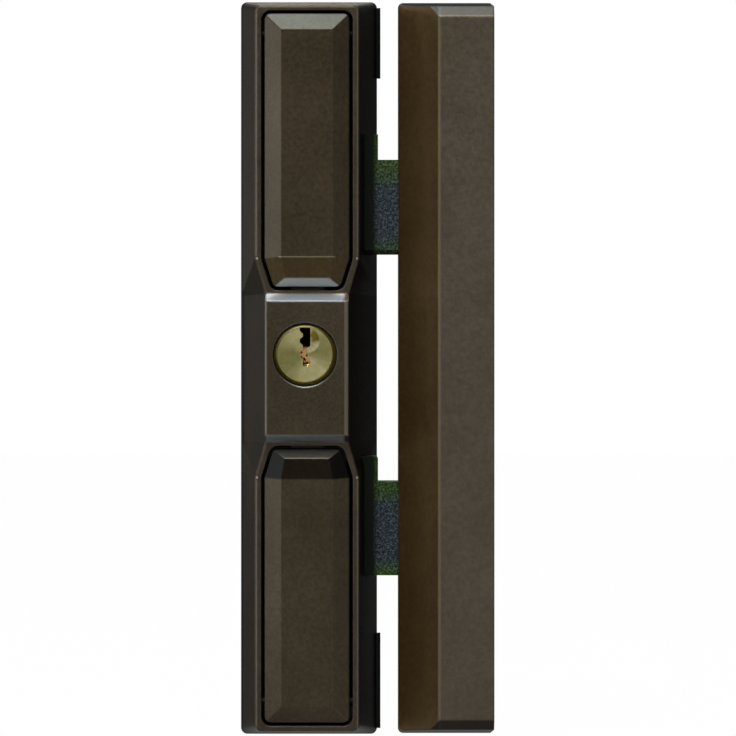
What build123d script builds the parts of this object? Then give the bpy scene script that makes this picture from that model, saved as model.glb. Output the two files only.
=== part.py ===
from build123d import *
import math
import os

os.makedirs("parts", exist_ok=True)

# Window lock: a case with a key cylinder, two press keys and two sliding bolts, and a
# strike box that takes the bolts. Millimetres, +Z up, +X from the lock towards the
# strike, the front faces -Y. The origin is the middle of the case's mounting face, and
# a "depth" is always a distance forward of that face.

# Lock case
case_length = 171.2
case_width = 31.8
case_wall = 2.2
rim_depth = 30.5  # mounting face to the flat rim round the press keys
side_lean = 4.1  # how far the side walls lean in up to the rim
end_lean = 3.4
waist_width = 19.0  # beside the centre block
corner_radius = 1.5
edge_chamfer = 0.35
block_rise = 3.0  # the centre block's face stands this far above the rim
block_length = 30.2  # flat face of the centre block
block_slope = 1.7  # how far its end chamfers run along the case
block_wall = 3.5
block_side_wall = 1.32
lip_width = 0.8  # ledge along the bolt side's back edge
lip_depth = 1.6
lip_notch_top = 17.9  # upper end of the case to the notch
lip_notch_bottom = 23.7

# Press keys
key_gap = 0.8  # groove round each key
rim_side = 1.43  # rim beside each key
rim_end = 2.0  # rim beyond each key's outer end
key_inner_end = 18.4
key_taper_start = 24.8
key_inner_half = 7.55
key_corner = 1.4
key_step = 0.3  # height of the key's edge above the rim
key_rise = 3.0  # flat of the key above the rim
key_bevel = 3.75
key_slope_angle = 6.0
key_crease_offset = 0.3  # start of the slope past the start of the taper
key_facet_run = 2.0
key_wall = 1.8
key_top_wall = 0.6  # thinnest metal at the key's edge
tab_thickness = 1.2  # stop tab at the key's inner end
tab_reach = 3.2
band_thickness = 1.0  # rim band that the stop tab catches behind
lug_width = 3.0
lug_wall = 1.0  # metal round the hinge pin
key_pop_angle = 4.5  # how far a key springs out when the lock opens
hinge_inset = 4.4  # hinge pin to the key's outer end
hinge_below_rim = 3.5
hinge_pin_diameter = 2.0
hinge_clearance = 0.05  # radial
hinge_pin_end = 1.0  # length of the pin's seat in the case wall
hinge_end_gap = 0.1

# Cylinder
cylinder_x = -0.4
mech_z = 3.0  # the mechanism's middle, a little above the case's own
nose_diameter = 14.2
nose_chamfer = 0.8
nose_clearance = 0.15
shoulder_step = 0.5
plug_head_diameter = 12.6
plug_head_length = 2.4
plug_diameter = 11.0
plug_clearance = 0.05  # radial
plug_recess = 0.2
dish_radius = 3.5  # shallow dish that leads the key in
dish_depth = 0.3
dish_rise = 2.6
keyway_top = 6.1
keyway_bottom = -2.6
keyway_wide = 1.2
keyway_narrow = 0.5
tail_diameter = 6.0
tail_flat = 4.4
pin_diameter = 2.6
pin_pitch = 3.4
pin_start = 3.06  # first pin behind the plug's head
pin_count = 4
chamber_width = 6.0
chamber_drop = 13.2
pin_cover_thickness = 1.0
pin_cover_edge = 0.5  # beyond the pin chambers on each side
shear_gap = 0.05
driver_length = 3.4
pin_spring_radius = 0.9
pin_spring_wire = 0.2
pin_spring_turns = 3
quarter_turn = 90.0

# Plates and mechanism, stacked forward from the mounting face
plate_thickness = 2.5
plate_clearance = 0.25
guide_setback = 0.7  # guides narrower than the waist on each side
slide_clearance = 0.2
bar_thickness = 4.0
bar_width = 12.0
bar_gap = 0.5  # drive bar to base plate
bar_low_gap = 13.8  # end of the drive bar to the lower hinge pin
bar_high_gap = 8.3
foot_radius = 1.5  # tip of each key's foot
foot_gap = 0.15
foot_setback = 0.5  # foot narrower than its ramp on each side
ramp_lead = 0.4  # from the foot's middle to the ramp
ramp_top = 0.6
bar_corner = 1.5
slot_wall = 1.6  # bar metal beyond the cam slot
upper_foot_inset = 8.5  # foot to the end of the bar
lower_foot_inset = 2.5
bolt_gap = 2.5  # drive bar to bolts
bolt_thickness = 12.0
cover_thickness = 1.5
rail_thickness = 2.0
tab_width = 2.4
cam_gap = 1.4
cam_thickness = 2.4
cam_radius = 6.0
cam_finger_diameter = 3.5
cam_slot_clearance = 0.3
cam_arm_edge = 0.7  # metal round the finger
cam_hub_wall = 1.6
bridge_thickness = 1.5
leg_thickness = 1.3
clip_thickness = 0.6
clip_diameter = 8.4
clip_mouth = 3.2
clip_groove = 0.3  # groove depth below the tail's flats

# Bolts
bolt_inset = 45.8  # upper end of the case to the middle of the upper bolt
lower_bolt_rise = 0.3  # above the middle of the room between cylinder and lower foot
root_height = 27.2
tongue_height = 21.4
bolt_throw = 11.0
shoulder_gap = 0.2  # shoulder beyond the case's side
bolt_tail_gap = 1.3  # tail to the far wall when the bolt is drawn in
tongue_length = 11.4
shoulder_fillet = 0.8
tip_chamfer = 0.8
tail_chamfer = 1.2
bolt_pin_diameter = 4.0
bolt_pin_inset = 3.8  # bolt's tail to the pin
bolt_pin_rise = 2.2  # above the middle of the bolt's root
bolt_pocket_depth = 5.0
bolt_pin_end_gap = 0.5
bolt_pin_clearance = 0.15  # radial

# Strike box
strike_gap = 4.9  # case to strike box
strike_width = 21.6
strike_length = 170.8
strike_depth = 31.5
strike_bevel = 9.1  # how far the long bevel runs across
strike_wall_height = 22.5  # depth at which the long bevel starts
strike_wall = 1.8
strike_lean = 3.4
strike_chamfer_run = 2.4
strike_chamfer_drop = 2.0
strike_corner = 1.2
keep_thickness = 3.0
keep_length = 132.0
keep_setback = 2.0
keep_cover = 2.4
keep_clearance = 0.3
window_clearance = 0.9

# Fasteners
mount_hole_diameter = 5.2
mount_x = 7.0
mount_inset = 15.6
strike_mount_setback = 8.9  # from the strike's right side
strike_mount_inset = 6.0
screw_diameter = 3.0
screw_head_diameter = 5.6
screw_length = 12.0
drive_slot_width = 0.7
drive_slot_share = 0.6  # of the head's diameter and of its height
boss_width = 6.4
boss_depth = 17.0
boss_inset = 4.0
strike_screw_setback = 5.9
strike_screw_z = 35.0

# Springs
key_spring_radius = 1.6
key_spring_wire = 0.3  # radius
key_spring_turns = 5
key_spring_width = 6.0
bar_spring_radius = 1.5
bar_spring_wire = 0.3
bar_spring_turns = 6
spring_sides = 8  # straight runs in one turn
post_thickness = 1.6
post_gap = 4.9  # post to the end wall of the case

# Worked out from the sizes above
rim_length = case_length - 2 * end_lean
rim_width = case_width - 2 * side_lean
key_outer_end = rim_length / 2 - rim_end
key_half_width = rim_width / 2 - rim_side - key_gap
hinge_z = key_outer_end - hinge_inset
bar_low = bar_low_gap - hinge_z
bar_high = hinge_z - bar_high_gap
upper_foot = bar_high - upper_foot_inset
lower_foot = bar_low + lower_foot_inset
screw_head_height = (screw_head_diameter - screw_diameter) / 2
drive_slot_length = screw_head_diameter * drive_slot_share
block_depth = rim_depth + block_rise
block_foot = block_length / 2 + block_slope
bar_back = plate_thickness + bar_gap
bar_front = bar_back + bar_thickness
bolt_back = bar_front + bolt_gap
bolt_front = bolt_back + bolt_thickness
cover_back = bolt_front + slide_clearance
cover_front = cover_back + cover_thickness
cavity_depth = cover_front + key_gap
cam_back = bar_front + cam_gap
cam_front = cam_back + cam_thickness
bridge_back = cam_front + 2 * slide_clearance
bridge_front = bridge_back + bridge_thickness
bar_travel = 2 * cam_radius * math.sin(math.radians(quarter_turn / 2))
finger_rise = bar_travel / 2
finger_reach = cam_radius * math.cos(math.radians(quarter_turn / 2))
hinge_depth = rim_depth - hinge_below_rim
key_flat_depth = rim_depth + key_rise
key_edge_depth = rim_depth + key_step
cylinder_depth = block_depth - plug_recess
post_low = case_length / 2 - post_gap - post_thickness
bolt_centres = [
    case_length / 2 - bolt_inset,
    (mech_z - chamber_drop + lower_foot + foot_radius) / 2 + lower_bolt_rise,
]
shoulder_x = case_width / 2 + shoulder_gap
tongue_tip = shoulder_x + tongue_length
tongue_drop = (root_height - tongue_height) / 2
strike_left = case_width / 2 + strike_gap
strike_right = strike_left + strike_width
strike_face_left = strike_left + strike_bevel
strike_mount_x = strike_right - strike_mount_setback
strike_screw_x = strike_right - strike_screw_setback


# A plane parallel to the mounting face. Its local x and y are X and Z, and what is
# extruded from it goes towards the front.
def facing(depth):
    return Plane.XZ.offset(depth)


# The walls of the case lean in evenly from the mounting face to the rim.
def lean(back, front, depth):
    return back + (front - back) * depth / rim_depth


# The plane through three points that leaves one more point below it.
def facet(inside, *points):
    a, b, c = [Vector(point) for point in points]
    normal = (b - a).cross(c - a)
    if normal.dot(Vector(inside) - a) > 0:
        normal = -normal
    return Plane(origin=a, z_dir=normal)


# The room beside the centre block, on one side of the case. It starts at nothing on the
# mounting face and widens towards the rim.
def waist_room(side, inset):
    back_x = side * (case_width / 2 - inset)
    waist_x = side * (waist_width / 2 - inset)
    rim_x = side * (rim_width / 2 - inset)
    beside = (2 * back_x, -rim_depth, 0)
    with BuildPart() as room:
        with BuildSketch(facing(0)):
            Rectangle(2 * case_width, 2 * key_taper_start)
        extrude(amount=rim_depth)
        wall = facet(beside, (back_x, 0, 0), (back_x, 0, 1), (waist_x, -rim_depth, 0))
        split(bisect_by=wall, keep=Keep.BOTTOM)
        for end in (1, -1):
            taper = facet(
                beside,
                (waist_x, -rim_depth, end * block_foot),
                (rim_x, -rim_depth, end * key_taper_start),
                (back_x, 0, end * block_foot),
            )
            split(bisect_by=taper, keep=Keep.BOTTOM)
    return room.part


# The case's leaning form up to one depth, with all its walls moved in by the inset.
def case_form(top, inset):
    half_x = case_width / 2 - inset
    half_z = case_length / 2 - inset
    with BuildPart() as form:
        with BuildSketch(facing(0)):
            Rectangle(2 * half_x, 2 * half_z)
        extrude(amount=top)
        for side in (1, -1):
            side_plane = Plane((side * half_x, 0, 0), z_dir=(side * rim_depth, -side_lean, 0))
            end_plane = Plane((0, 0, side * half_z), z_dir=(0, -end_lean, side * rim_depth))
            split(bisect_by=side_plane, keep=Keep.BOTTOM)
            split(bisect_by=end_plane, keep=Keep.BOTTOM)
    return form.part


# Outline of a press key, side is 1 for the upper key and -1 for the lower one.
def key_outline(side):
    half = [
        (key_half_width, side * key_outer_end),
        (key_half_width, side * key_taper_start),
        (key_inner_half, side * key_inner_end),
    ]
    return Polyline(*half, *[(-x, z) for x, z in reversed(half)], close=True)


def inner_half(depth):
    return lean(case_width, rim_width, depth) / 2 - case_wall


bolt_tail = bolt_throw + bolt_tail_gap - inner_half(bolt_front)
bolt_pin_x = bolt_tail + bolt_pin_inset


boss_places = [
    (-s * (inner_half(0) - boss_inset), s * (case_length / 2 - case_wall - boss_inset))
    for s in (-1, 1)
]
mount_places = [(sx * mount_x, sz * (case_length / 2 - mount_inset)) for sx in (-1, 1) for sz in (-1, 1)]


# Bosses for the case screws, rooted in the walls at the case's corners.
boss_side = boss_width + 2 * case_wall
with BuildPart() as bosses:
    with BuildSketch(facing(plate_thickness)):
        for x, z in boss_places:
            with Locations((x + math.copysign(case_wall, x), z + math.copysign(case_wall, z))):
                Rectangle(boss_side, boss_side)
    extrude(amount=boss_depth)
    add(case_form(rim_depth, case_wall / 2), mode=Mode.INTERSECT)

# The hollow of the case, open at the back.
with BuildPart() as cavity:
    add(case_form(cavity_depth, case_wall))
    for side in (1, -1):
        add(waist_room(side, case_wall), mode=Mode.SUBTRACT)

# Case shell: leaning walls, a rim, a raised centre block, two key wells and two slots.
with BuildPart() as case_shell:
    add(case_form(rim_depth, 0))
    corners = case_shell.edges().filter_by(lambda e: abs(e.center().Y + rim_depth / 2) < 0.1)
    fillet(corners, corner_radius)
    for side in (1, -1):
        add(waist_room(side, 0), mode=Mode.SUBTRACT)
    chamfer(case_shell.faces().sort_by(Axis.Y)[0].outer_wire().edges(), edge_chamfer)

    # centre block, its ends chamfered down to the rim
    with BuildSketch(Plane.YZ.offset(-waist_width / 2)):
        with BuildLine():
            Polyline(
                (-rim_depth + 1, block_foot),
                (-rim_depth, block_foot),
                (-block_depth, block_length / 2),
                (-block_depth, -block_length / 2),
                (-rim_depth, -block_foot),
                (-rim_depth + 1, -block_foot),
                close=True,
            )
        make_face()
    extrude(amount=waist_width)
    block_edges = case_shell.faces().sort_by(Axis.Y)[0].edges()
    chamfer(block_edges.filter_by(Axis.Z), edge_chamfer)

    # hollow from the back, deeper behind the centre block
    add(cavity.part, mode=Mode.SUBTRACT)
    with BuildSketch(facing(cavity_depth)):
        Rectangle(waist_width - 2 * block_side_wall, 2 * (key_inner_end - key_gap / 2))
    extrude(amount=rim_depth - band_thickness - cavity_depth, mode=Mode.SUBTRACT)
    with BuildSketch(facing(cavity_depth)):
        Rectangle(waist_width - 2 * block_side_wall, block_length - 2 * case_wall)
    extrude(amount=block_depth - block_wall - cavity_depth, mode=Mode.SUBTRACT)

    # wells for the press keys
    for side in (1, -1):
        with BuildSketch(facing(cavity_depth - 1)):
            with BuildLine():
                key_outline(side)
            make_face()
            offset(amount=key_gap, kind=Kind.INTERSECTION)
            fillet(vertices(), key_corner + key_gap)
        extrude(amount=block_depth, mode=Mode.SUBTRACT)

    # cylinder hole
    with BuildSketch(facing(cavity_depth)):
        with Locations((cylinder_x, mech_z)):
            Circle(nose_diameter / 2 + nose_clearance)
    extrude(amount=block_depth, mode=Mode.SUBTRACT)

    # slots for the bolts
    for z in bolt_centres:
        with BuildSketch(Plane.YZ.offset(inner_half(cavity_depth) - case_wall)):
            with Locations((-(bolt_back + bolt_front) / 2, z)):
                Rectangle(
                    bolt_thickness + 2 * slide_clearance,
                    root_height + 2 * slide_clearance,
                )
        extrude(amount=case_width / 2, mode=Mode.SUBTRACT)

    # ledge along the back edge on the bolt side, cut away beside the bolts
    lip_end = case_length / 2 - corner_radius
    for low, high in (
        (case_length / 2 - lip_notch_top, lip_end),
        (-lip_end, lip_notch_bottom - case_length / 2),
    ):
        with BuildSketch(facing(0)):
            with Locations((case_width / 2, (low + high) / 2)):
                Rectangle(2 * lip_width, high - low)
        extrude(amount=lip_depth)

    # bosses for the case screws and seats for the hinge pins
    add(bosses.part)
    with BuildSketch(facing(plate_thickness)):
        with Locations(*boss_places):
            Circle(screw_diameter / 2)
    extrude(amount=screw_length, mode=Mode.SUBTRACT)
    for side in (1, -1):
        with BuildSketch(Plane.YZ.offset(-(key_half_width + key_gap + hinge_pin_end))):
            with Locations((-hinge_depth, side * hinge_z)):
                Circle(hinge_pin_diameter / 2)
        extrude(amount=2 * (key_half_width + key_gap + hinge_pin_end), mode=Mode.SUBTRACT)
case_shell.part.label = "case_shell"

# Base plate, screwed to the window frame and held in the back of the case.
plate_half = inner_half(plate_thickness) - plate_clearance
plate_end = lean(case_length, rim_length, plate_thickness) / 2 - case_wall - plate_clearance
guide_half = waist_width / 2 - guide_setback
rail_middle = (root_height + rail_thickness) / 2 + slide_clearance
tab_x = guide_half - tab_width / 2
bridge_half = lean(case_width, waist_width, bridge_front) / 2 - case_wall - plate_clearance
leg_x = bridge_half - leg_thickness / 2
with BuildPart() as base_plate:
    with BuildSketch(facing(0)):
        Rectangle(2 * plate_half, 2 * plate_end)
        fillet(vertices(), corner_radius)
        with Locations(*boss_places):
            Circle(screw_diameter / 2 + slide_clearance, mode=Mode.SUBTRACT)
        with Locations(*mount_places):
            Circle(mount_hole_diameter / 2, mode=Mode.SUBTRACT)
        for z in bolt_centres:
            for rail in (z - rail_middle, z + rail_middle):
                with Locations((-tab_x, rail), (tab_x, rail)):
                    Rectangle(tab_width, rail_thickness, mode=Mode.SUBTRACT)
        with Locations((-leg_x, mech_z), (leg_x, mech_z)):
            Rectangle(leg_thickness, 2 * tab_width, mode=Mode.SUBTRACT)
    extrude(amount=plate_thickness)
    # post that the bar spring pushes against
    with BuildSketch(facing(plate_thickness)):
        with Locations((0, post_low + post_thickness / 2)):
            Rectangle(bar_width / 2, post_thickness)
    extrude(amount=bar_front - plate_thickness)
    for x, z in boss_places:
        with Locations(Plane((x, 0, z), z_dir=(0, 1, 0))):
            CounterSinkHole(
                screw_diameter / 2 + slide_clearance,
                screw_head_diameter / 2 + slide_clearance,
                plate_thickness,
                90,
            )
base_plate.part.label = "base_plate"


# A countersunk screw whose head lies in the back of a plate and whose shank points
# to the front.
def countersunk_screw(x, z, length):
    with BuildPart() as screw:
        with BuildSketch(Plane((x, 0, z), x_dir=(1, 0, 0), z_dir=(0, 0, 1))):
            with BuildLine():
                Polyline(
                    (0, 0),
                    (screw_head_diameter / 2, 0),
                    (screw_diameter / 2, -screw_head_height),
                    (screw_diameter / 2, -length),
                    (0, -length),
                    close=True,
                )
            make_face()
        revolve(axis=Axis((x, 0, z), (0, 1, 0)))
        with BuildSketch(facing(0)):
            with Locations((x, z)):
                for turn in (45, 135):
                    Rectangle(drive_slot_length, drive_slot_width, rotation=turn)
        extrude(amount=screw_head_height * drive_slot_share, mode=Mode.SUBTRACT)
    return screw.part


case_screws = Compound(
    label="case_screws",
    children=[countersunk_screw(x, z, screw_length) for x, z in boss_places],
)

# Cylinder body: a round nose, a shoulder behind the case wall and a pin chamber below.
shoulder_depth = block_depth - block_wall
nose_radius = nose_diameter / 2
bore_radius = plug_diameter / 2 + plug_clearance
pin_depths = [
    cylinder_depth - plug_head_length - pin_start - pin_pitch * i for i in range(pin_count)
]
with BuildPart() as cylinder_body:
    with BuildSketch(facing(bridge_front)):
        with Locations((cylinder_x, mech_z)):
            Circle(nose_radius)
    extrude(amount=block_depth - bridge_front)
    nose_edge = cylinder_body.edges().filter_by(GeomType.CIRCLE).sort_by(Axis.Y)[0]
    chamfer(nose_edge, nose_chamfer)
    with BuildSketch(facing(bridge_front)):
        with Locations((cylinder_x, mech_z)):
            Circle(nose_radius + shoulder_step)
        with Locations((cylinder_x, mech_z - chamber_drop / 2)):
            Rectangle(chamber_width, chamber_drop)
    extrude(amount=shoulder_depth - bridge_front)
    with BuildSketch(facing(bridge_front)):
        with Locations((cylinder_x, mech_z)):
            Circle(bore_radius)
    extrude(amount=block_depth, mode=Mode.SUBTRACT)
    with BuildSketch(facing(cylinder_depth - plug_head_length)):
        with Locations((cylinder_x, mech_z)):
            Circle(plug_head_diameter / 2 + plug_clearance)
    extrude(amount=block_depth, mode=Mode.SUBTRACT)
    for depth in pin_depths:
        with BuildSketch(Plane.XY.offset(mech_z - chamber_drop + pin_cover_thickness)):
            with Locations((cylinder_x, -depth)):
                Circle(pin_diameter / 2 + plug_clearance)
        extrude(amount=chamber_drop - plug_diameter / 3, mode=Mode.SUBTRACT)
    with BuildSketch(Plane.XY.offset(mech_z - chamber_drop)):
        with Locations((cylinder_x, -(bridge_front + shoulder_depth) / 2)):
            Rectangle(pin_diameter + 2 * pin_cover_edge, shoulder_depth - bridge_front)
    extrude(amount=pin_cover_thickness, mode=Mode.SUBTRACT)
cylinder_body.part.label = "cylinder_body"

# Strip that closes the pin chambers.
with BuildPart() as pin_cover:
    with BuildSketch(Plane.XY.offset(mech_z - chamber_drop)):
        with Locations((cylinder_x, -(bridge_front + shoulder_depth) / 2)):
            Rectangle(pin_diameter + 2 * pin_cover_edge, shoulder_depth - bridge_front)
    extrude(amount=pin_cover_thickness)
pin_cover.part.label = "pin_cover"

# Plug with its keyway. The keyway's walls step in and out as the key's profile does.
with BuildPart() as plug:
    with BuildSketch(facing(bridge_back)):
        with Locations((cylinder_x, mech_z)):
            Circle(plug_diameter / 2)
    extrude(amount=cylinder_depth - bridge_back)
    with BuildSketch(facing(cylinder_depth - plug_head_length)):
        with Locations((cylinder_x, mech_z)):
            Circle(plug_head_diameter / 2)
    extrude(amount=plug_head_length)
    with BuildSketch(facing(bridge_front)):
        with BuildLine(Plane.XY.move(Location((cylinder_x, mech_z, 0)))):
            Polyline(
                (keyway_wide, keyway_top),
                (keyway_wide, 2.0),
                (keyway_narrow, 1.5),
                (keyway_narrow, -0.2),
                (keyway_wide, -0.8),
                (keyway_wide, -1.7),
                (keyway_narrow, keyway_bottom),
                (-keyway_narrow, keyway_bottom),
                (-keyway_narrow, -1.0),
                (-keyway_wide, -0.4),
                (-keyway_wide, 0.6),
                (-keyway_narrow, 1.2),
                (-keyway_narrow, 2.1),
                (-keyway_wide, 2.8),
                (-keyway_wide, 3.5),
                (-keyway_narrow, 4.1),
                (-keyway_narrow, 4.7),
                (-keyway_wide, 5.4),
                (-keyway_wide, keyway_top),
                close=True,
            )
        make_face()
    extrude(amount=block_depth, mode=Mode.SUBTRACT)
    dish_sphere = (dish_radius**2 + dish_depth**2) / (2 * dish_depth)
    with Locations((cylinder_x, -cylinder_depth - dish_sphere + dish_depth, mech_z + dish_rise)):
        Sphere(dish_sphere, mode=Mode.SUBTRACT)
    for depth in pin_depths:
        with BuildSketch(Plane.XY.offset(mech_z - plug_diameter)):
            with Locations((cylinder_x, -depth)):
                Circle(pin_diameter / 2 + plug_clearance)
        extrude(amount=plug_diameter + keyway_bottom + 1, mode=Mode.SUBTRACT)
    # tail with two flats that carries the cam, and a groove for its clip
    clip_back = cam_back - slide_clearance - clip_thickness
    tail_end = clip_back - clip_thickness / 2
    with BuildSketch(facing(tail_end)):
        with Locations((cylinder_x, mech_z)):
            Circle(tail_diameter / 2)
            Rectangle(tail_diameter, tail_flat, mode=Mode.INTERSECT)
    extrude(amount=bridge_back - tail_end)
    with BuildSketch(facing(clip_back)):
        with Locations((cylinder_x, mech_z)):
            Circle(tail_diameter)
            Circle(tail_flat / 2 - clip_groove, mode=Mode.SUBTRACT)
    extrude(amount=clip_thickness, mode=Mode.SUBTRACT)
plug.part.label = "plug"

# Cam: an arm on the plug's tail with a finger that moves the drive bar.
finger_x = cylinder_x + finger_reach
finger_z = mech_z + finger_rise
with BuildPart() as cam:
    with BuildSketch(facing(cam_back)):
        with Locations(((cylinder_x + finger_x) / 2, (mech_z + finger_z) / 2)):
            SlotCenterToCenter(cam_radius, cam_finger_diameter + 2 * cam_arm_edge, quarter_turn / 2)
        with Locations((cylinder_x, mech_z)):
            Circle(tail_diameter / 2 + cam_hub_wall)
            with BuildSketch(mode=Mode.PRIVATE) as tail_hole:
                Circle(tail_diameter / 2 + plug_clearance)
                Rectangle(tail_diameter, tail_flat + 2 * plug_clearance, mode=Mode.INTERSECT)
            add(tail_hole.sketch, mode=Mode.SUBTRACT)
    extrude(amount=cam_thickness)
    with BuildSketch(facing(bar_back + slide_clearance)):
        with Locations((finger_x, finger_z)):
            Circle(cam_finger_diameter / 2)
    extrude(amount=cam_back - bar_back)
cam.part.label = "cam"

# Spring clip in the tail's groove, open on one side.
with BuildPart() as cam_clip:
    with BuildSketch(facing(clip_back)):
        with Locations((cylinder_x, mech_z)):
            Circle(clip_diameter / 2)
            Circle(tail_flat / 2 - clip_groove + plug_clearance, mode=Mode.SUBTRACT)
        with Locations((cylinder_x - clip_diameter / 2, mech_z)):
            Rectangle(clip_diameter, clip_mouth, mode=Mode.SUBTRACT)
    extrude(amount=clip_thickness)
cam_clip.part.label = "cam_clip"

# Key pins in the plug, driver pins in the body below the shear line, and their springs.
key_pin_lengths = [3.2, 2.7, 3.5, 2.9]
shear = mech_z - plug_diameter / 2
pin_foot = mech_z - math.sqrt(plug_diameter**2 - pin_diameter**2) / 2 + shear_gap
key_pins = Compound(
    label="key_pins",
    children=[
        Pos(cylinder_x, -depth, pin_foot)
        * Cylinder(
            pin_diameter / 2, length, align=(Align.CENTER, Align.CENTER, Align.MIN)
        )
        for depth, length in zip(pin_depths, key_pin_lengths)
    ],
)
driver_pins = Compound(
    label="driver_pins",
    children=[
        Pos(cylinder_x, -depth, shear - plug_clearance - shear_gap)
        * Cylinder(
            pin_diameter / 2, driver_length, align=(Align.CENTER, Align.CENTER, Align.MAX)
        )
        for depth in pin_depths
    ],
)


# A coil of square wire that climbs along +Z, in short straight runs.
def make_coil(radius, rise, wire, turns):
    count = turns * spring_sides
    step = 2 * math.pi / spring_sides
    path = Polyline(
        *[
            (radius * math.cos(i * step), radius * math.sin(i * step), rise * i / count)
            for i in range(count + 1)
        ]
    )
    section = Plane(path @ 0, z_dir=path % 0) * Rectangle(2 * wire, 2 * wire)
    return sweep(section, path=path, transition=Transition.RIGHT)


# A compression spring between two heights.
def coil_spring(x, depth, low, high, radius, wire, turns):
    coil = make_coil(radius, high - low - 2 * wire, wire, turns)
    return Pos(x, -depth, low + wire) * coil


pin_spring_low = mech_z - chamber_drop + pin_cover_thickness
pin_spring_high = shear - plug_clearance - shear_gap - driver_length
pin_springs = Compound(
    label="pin_springs",
    children=[
        coil_spring(
            cylinder_x,
            depth,
            pin_spring_low,
            pin_spring_high,
            pin_spring_radius,
            pin_spring_wire,
            pin_spring_turns,
        )
        for depth in pin_depths
    ],
)

# Bridge over the drive bar that holds the cylinder forward against the case. Its two
# legs end in tabs staked in the base plate.
with BuildPart() as cylinder_bridge:
    with BuildSketch(facing(bridge_back)):
        with Locations((0, mech_z)):
            Rectangle(2 * bridge_half, 2 * nose_radius)
        with Locations((cylinder_x, mech_z)):
            Circle(bore_radius + plug_clearance, mode=Mode.SUBTRACT)
    extrude(amount=bridge_thickness)
    with BuildSketch(facing(plate_thickness)):
        with Locations((-leg_x, mech_z), (leg_x, mech_z)):
            Rectangle(leg_thickness, nose_diameter)
    extrude(amount=bridge_back - plate_thickness)
    with BuildSketch(facing(0)):
        with Locations((-leg_x, mech_z), (leg_x, mech_z)):
            Rectangle(leg_thickness, 2 * tab_width)
    extrude(amount=plate_thickness)
cylinder_bridge.part.label = "cylinder_bridge"

# Drive bar: slides along the case, with a cross slot for the cam's finger, holes for
# the bolt pins and a low ramp under each key's foot.
slot_low = cylinder_x + finger_reach - cam_finger_diameter / 2 - cam_slot_clearance
slot_high = cylinder_x + cam_radius + cam_finger_diameter / 2 + cam_slot_clearance
bolt_pin_places = [(bolt_pin_x, z + bolt_pin_rise) for z in bolt_centres]


# How far a foot lifts and swings along the bar while its key springs out.
def foot_motion(foot_z):
    angle = math.radians(key_pop_angle)
    lift = (hinge_z - abs(foot_z)) * angle
    swing = (hinge_depth - bar_front) * angle
    return lift, swing


with BuildPart() as drive_bar:
    with BuildSketch(facing(bar_back)):
        with Locations((0, (bar_low + bar_high) / 2)):
            Rectangle(bar_width, bar_high - bar_low)
            fillet(vertices(), bar_corner)
        with Locations(((slot_high + slot_wall - bar_width / 2) / 2, finger_z)):
            Rectangle(slot_high + slot_wall + bar_width / 2, 4 * cam_finger_diameter)
        with Locations(((slot_low + slot_high) / 2, finger_z)):
            SlotOverall(
                slot_high - slot_low,
                cam_finger_diameter + 2 * cam_slot_clearance,
                mode=Mode.SUBTRACT,
            )
        with Locations(*bolt_pin_places):
            Circle(bolt_pin_diameter / 2 + slot_wall)
            Circle(bolt_pin_diameter / 2, mode=Mode.SUBTRACT)
    extrude(amount=bar_thickness)
    for foot_z in (upper_foot, lower_foot):
        lift, swing = foot_motion(foot_z)
        toward_centre = -1 if foot_z > 0 else 1
        run = bar_travel + toward_centre * swing
        start_z = foot_z + ramp_lead
        with BuildSketch(Plane.YZ.offset(-bar_width / 4)):
            with BuildLine():
                Polyline(
                    (-bar_front, start_z),
                    (-bar_front - lift, start_z + run),
                    (-bar_front - lift, start_z + run + ramp_top),
                    (-bar_front, start_z + run + ramp_top),
                    close=True,
                )
            make_face()
        extrude(amount=bar_width / 2)
drive_bar.part.label = "drive_bar"

# Pins pressed in the drive bar that reach into the backs of the bolts.
bolt_pins = Compound(
    label="bolt_pins",
    children=[
        Pos(x, -bar_back, z)
        * Rot(90, 0, 0)
        * Cylinder(
            bolt_pin_diameter / 2,
            bolt_back + bolt_pocket_depth - bolt_pin_end_gap - bar_back,
            align=(Align.CENTER, Align.CENTER, Align.MIN),
        )
        for x, z in bolt_pin_places
    ],
)


# A bolt: a tall root in the case and a lower tongue with a rounded shoulder above it,
# and an angled blind slot in the back that the drive bar's pin follows.
def make_bolt(middle):
    root_low = middle - root_height / 2
    root_high = middle + root_height / 2
    tongue_high = root_low + tongue_height
    with BuildPart() as bolt:
        with BuildSketch(facing(bolt_back)):
            with BuildLine():
                Polyline(
                    (bolt_tail, root_low),
                    (tongue_tip, root_low),
                    (tongue_tip, tongue_high),
                    (shoulder_x, tongue_high),
                    (shoulder_x, root_high),
                    (bolt_tail, root_high),
                    close=True,
                )
            make_face()
            inner_corner = vertices().sort_by_distance((shoulder_x, -bolt_back, tongue_high))[0]
            fillet(inner_corner, shoulder_fillet)
        extrude(amount=bolt_thickness)
        tip = bolt.faces().sort_by(Axis.X)[-1]
        chamfer(tip.edges(), tip_chamfer)
        tail = bolt.faces().sort_by(Axis.X)[0]
        chamfer(tail.edges().filter_by(Axis.Y), tail_chamfer)
        with BuildSketch(facing(bolt_back)):
            with Locations(
                (bolt_pin_x + bolt_throw / 2, middle + bolt_pin_rise - bar_travel / 2)
            ):
                SlotCenterToCenter(
                    math.hypot(bolt_throw, bar_travel),
                    bolt_pin_diameter + 2 * bolt_pin_clearance,
                    -math.degrees(math.atan2(bar_travel, bolt_throw)),
                )
        extrude(amount=bolt_pocket_depth, mode=Mode.SUBTRACT)
    return bolt.part


upper_bolt = make_bolt(bolt_centres[0])
upper_bolt.label = "upper_bolt"
lower_bolt = make_bolt(bolt_centres[1])
lower_bolt.label = "lower_bolt"


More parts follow.
